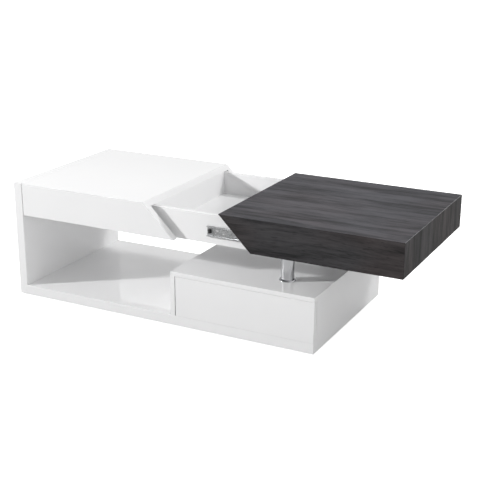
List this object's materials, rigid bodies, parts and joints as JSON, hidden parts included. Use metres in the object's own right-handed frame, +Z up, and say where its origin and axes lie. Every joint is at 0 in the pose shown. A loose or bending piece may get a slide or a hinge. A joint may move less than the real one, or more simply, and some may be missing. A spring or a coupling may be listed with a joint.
{
  "type": "sliding-top coffee table",
  "caption": "Low table whose wood-grain lid slides sideways off a fixed storage tray, above an open shelf bay and a drawer.",
  "frame": {"origin": "on the floor under the centre of the overall footprint with the lid open, as stored", "axes": "+X along the length towards the end where the lid opens, the drawer front faces -Y, +Z up"},
  "size_m": [1.468, 0.6, 0.425],
  "materials": {
    "white_lacquer": "high-gloss white lacquer on board",
    "dark_oak": "satin charcoal wood-grain foil on board",
    "chrome": "polished chrome plate",
    "zinc_steel": "zinc-plated sheet steel",
    "black_plastic": "moulded, matt",
    "drawer_board": "matt white melamine on board",
    "grey_felt": "pressed felt glide"
  },
  "bodies": {
    "frame": {"left_end_panel": "white_lacquer", "floor_board": "white_lacquer", "block_top_panel": "white_lacquer", "block_front_apron": "white_lacquer", "block_rear_apron": "white_lacquer", "block_left_cheek": "white_lacquer", "block_bottom_panel": "white_lacquer", "block_front_batten": "white_lacquer", "block_rear_batten": "white_lacquer", "tray_front_wall": "white_lacquer", "tray_rear_wall": "white_lacquer", "tray_left_wall": "white_lacquer", "tray_right_wall": "white_lacquer", "tray_floor": "white_lacquer", "base_top": "white_lacquer", "base_left_side": "white_lacquer", "base_right_side": "white_lacquer", "base_back": "white_lacquer", "front_post_tube": "chrome", "front_post_base_flange": "chrome", "front_post_top_flange": "chrome", "rear_post_tube": "chrome", "rear_post_base_flange": "chrome", "rear_post_top_flange": "chrome", "lid_slide_front_fixed_member": "zinc_steel", "lid_slide_rear_fixed_member": "zinc_steel", "drawer_slide_left_fixed_member": "zinc_steel", "drawer_slide_right_fixed_member": "zinc_steel", "lid_slide_front_screw_1": "zinc_steel", "lid_slide_front_screw_2": "zinc_steel", "lid_slide_rear_screw_1": "zinc_steel", "lid_slide_rear_screw_2": "zinc_steel", "lid_slide_front_end_stop": "black_plastic", "lid_slide_rear_end_stop": "black_plastic", "glide_front_left": "grey_felt", "glide_front_middle": "grey_felt", "glide_front_right": "grey_felt", "glide_rear_left": "grey_felt", "glide_rear_middle": "grey_felt", "glide_rear_right": "grey_felt"},
    "lid": {"lid_top_panel": "dark_oak", "lid_front_apron": "dark_oak", "lid_rear_apron": "dark_oak", "lid_right_end": "dark_oak", "lid_slide_front_moving_member": "zinc_steel", "lid_slide_rear_moving_member": "zinc_steel"},
    "drawer": {"drawer_front": "white_lacquer", "drawer_left_side": "drawer_board", "drawer_right_side": "drawer_board", "drawer_back": "drawer_board", "drawer_bottom": "drawer_board", "drawer_slide_left_moving_member": "zinc_steel", "drawer_slide_right_moving_member": "zinc_steel"},
    "front_lid_runner": {"lid_slide_front_middle_member": "zinc_steel"},
    "rear_lid_runner": {"lid_slide_rear_middle_member": "zinc_steel"},
    "left_drawer_runner": {"drawer_slide_left_middle_member": "zinc_steel"},
    "right_drawer_runner": {"drawer_slide_right_middle_member": "zinc_steel"}
  },
  "joints": [
    {"name": "lid_slide", "type": "slide", "parent": "frame", "child": "lid", "axis": [1, 0, 0], "range_m": [-0.286, 0]},
    {"name": "front_lid_runner_slide", "type": "slide", "parent": "frame", "child": "front_lid_runner", "axis": [1, 0, 0], "range_m": [-0.143, 0]},
    {"name": "rear_lid_runner_slide", "type": "slide", "parent": "frame", "child": "rear_lid_runner", "axis": [1, 0, 0], "range_m": [-0.143, 0]},
    {"name": "drawer_slide", "type": "slide", "parent": "frame", "child": "drawer", "axis": [0, -1, 0], "range_m": [0, 0.42]},
    {"name": "left_drawer_runner_slide", "type": "slide", "parent": "frame", "child": "left_drawer_runner", "axis": [0, -1, 0], "range_m": [0, 0.21]},
    {"name": "right_drawer_runner_slide", "type": "slide", "parent": "frame", "child": "right_drawer_runner", "axis": [0, -1, 0], "range_m": [0, 0.21]}
  ],
  "couplings": [
    {"joint": "front_lid_runner_slide", "follows": "lid_slide", "ratio": 0.5},
    {"joint": "rear_lid_runner_slide", "follows": "lid_slide", "ratio": 0.5},
    {"joint": "left_drawer_runner_slide", "follows": "drawer_slide", "ratio": 0.5},
    {"joint": "right_drawer_runner_slide", "follows": "drawer_slide", "ratio": 0.5}
  ]
}
